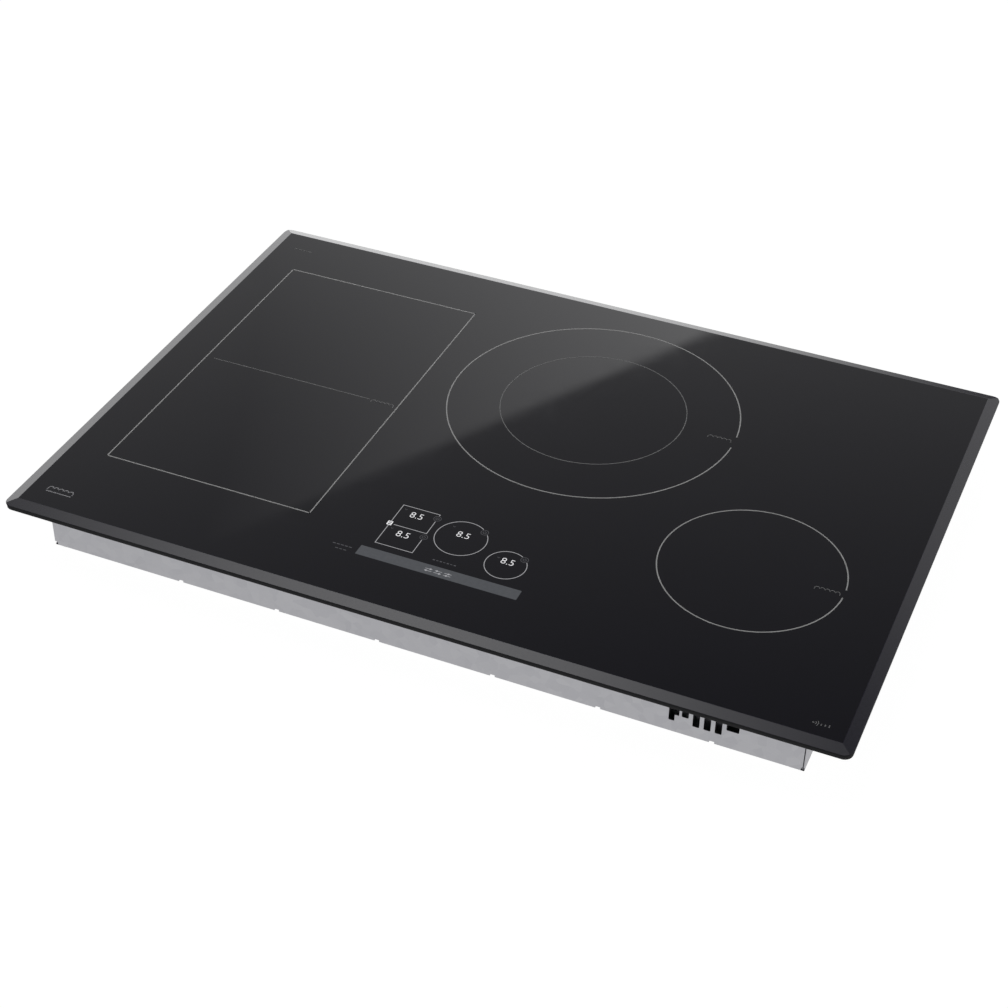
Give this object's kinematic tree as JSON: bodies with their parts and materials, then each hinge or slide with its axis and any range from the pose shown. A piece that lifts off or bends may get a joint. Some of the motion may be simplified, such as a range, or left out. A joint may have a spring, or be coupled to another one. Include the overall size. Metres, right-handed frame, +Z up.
{
  "type": "electric induction cooktop",
  "caption": "Built-in electric induction cooktop: bevelled black glass over a shallow steel box, a bridged zone, round zones and touch controls.",
  "frame": {"origin": "under the middle of the glass plate, level with the underside of the burner box", "axes": "+Z up through the glass, +X to the user's right along the glass's long side, the user stands at -Y"},
  "size_m": [0.781, 0.536, 0.0482],
  "materials": {
    "glass": "polished black glass-ceramic",
    "foam": "closed-cell foam strip",
    "printed_enamel": "fired ceramic ink",
    "silicone": "cured silicone bead",
    "zinc_steel": "hot-dip galvanised sheet, fine spangle",
    "label_foil": "satin foil",
    "screw_steel": "bright zinc",
    "yellow_zinc": "yellow zinc plated",
    "aluminium_sheet": "mill finish",
    "silicone_red": "moulded silicone",
    "coil_former": "glass-filled moulding",
    "litz_copper": "twisted enamelled copper strands",
    "ferrite": "ground ferrite",
    "mica": "pressed mica",
    "ceramic_fibre": "ceramic fibre felt",
    "sensor_ceramic": "white ceramic",
    "circuit_board": "solder resist on glass epoxy",
    "extruded_aluminium": "as extruded",
    "epoxy_black": "moulded epoxy",
    "capacitor_case": "boxed film capacitor",
    "choke_winding": "enamelled wire on a ring core",
    "nylon_natural": "moulded nylon",
    "duct_plastic": "moulded, fine texture",
    "motor_stack": "laminated iron with windings",
    "impeller_plastic": "moulded, satin",
    "relay_case": "moulded case",
    "brass_standoff": "turned",
    "control_plastic": "moulded, fine texture",
    "led_white": "display block",
    "light_guide": "opal acrylic",
    "smoked_film": "smoked film",
    "shield_can": "tinned can",
    "ribbon_grey": "flat ribbon",
    "sleeved_lead": "silicone-glass sleeving"
  },
  "bodies": {
    "cooktop": {"glass_top": "glass", "rim_seal": "foam", "glass_adhesive": "silicone", "support_frame": "zinc_steel", "burner_box": "zinc_steel", "conduit_plate": "zinc_steel", "rating_plate": "label_foil", "box_screws": "screw_steel", "bracket_nuts": "yellow_zinc", "coil_tray": "aluminium_sheet", "tray_posts": "screw_steel", "coil_buffers": "silicone_red", "coil_carrier_left_rear": "coil_former", "coil_carrier_left_front": "coil_former", "coil_carrier_centre": "coil_former", "coil_carrier_right": "coil_former", "winding_left_rear": "litz_copper", "winding_left_front": "litz_copper", "winding_centre_outer": "litz_copper", "winding_centre_inner": "litz_copper", "winding_right": "litz_copper", "ferrite_bars": "ferrite", "mica_sheets": "mica", "insulation_pads": "ceramic_fibre", "temperature_sensors": "sensor_ceramic", "power_board_left": "circuit_board", "power_board_right": "circuit_board", "heat_sink_left": "extruded_aluminium", "heat_sink_right": "extruded_aluminium", "power_transistors": "epoxy_black", "bridge_rectifiers": "epoxy_black", "resonant_capacitors": "capacitor_case", "dc_chokes": "choke_winding", "coil_connectors": "nylon_natural", "air_duct_left": "duct_plastic", "air_duct_right": "duct_plastic", "blower_housing_left": "duct_plastic", "blower_housing_right": "duct_plastic", "blower_lid_left": "duct_plastic", "blower_lid_right": "duct_plastic", "blower_motor_left": "motor_stack", "blower_motor_right": "motor_stack", "filter_board": "circuit_board", "line_choke": "choke_winding", "line_capacitors": "capacitor_case", "relays": "relay_case", "terminal_block": "nylon_natural", "board_standoffs": "brass_standoff", "control_tray": "control_plastic", "touch_board": "circuit_board", "digit_displays": "led_white", "settings_light_guide": "light_guide", "display_film": "smoked_film", "wireless_module": "shield_can", "ribbon_cable": "ribbon_grey", "coil_leads": "sleeved_lead"},
    "fan_left": {"impeller_left": "impeller_plastic"},
    "fan_right": {"impeller_right": "impeller_plastic"}
  },
  "joints": [
    {"name": "fan_left_spin", "type": "hinge", "parent": "cooktop", "child": "fan_left", "pos_m": [-0.262, 0.168, 0.014], "axis": [0, 0, 1], "continuous": true},
    {"name": "fan_right_spin", "type": "hinge", "parent": "cooktop", "child": "fan_right", "pos_m": [0.262, 0.168, 0.014], "axis": [0, 0, 1], "continuous": true}
  ]
}
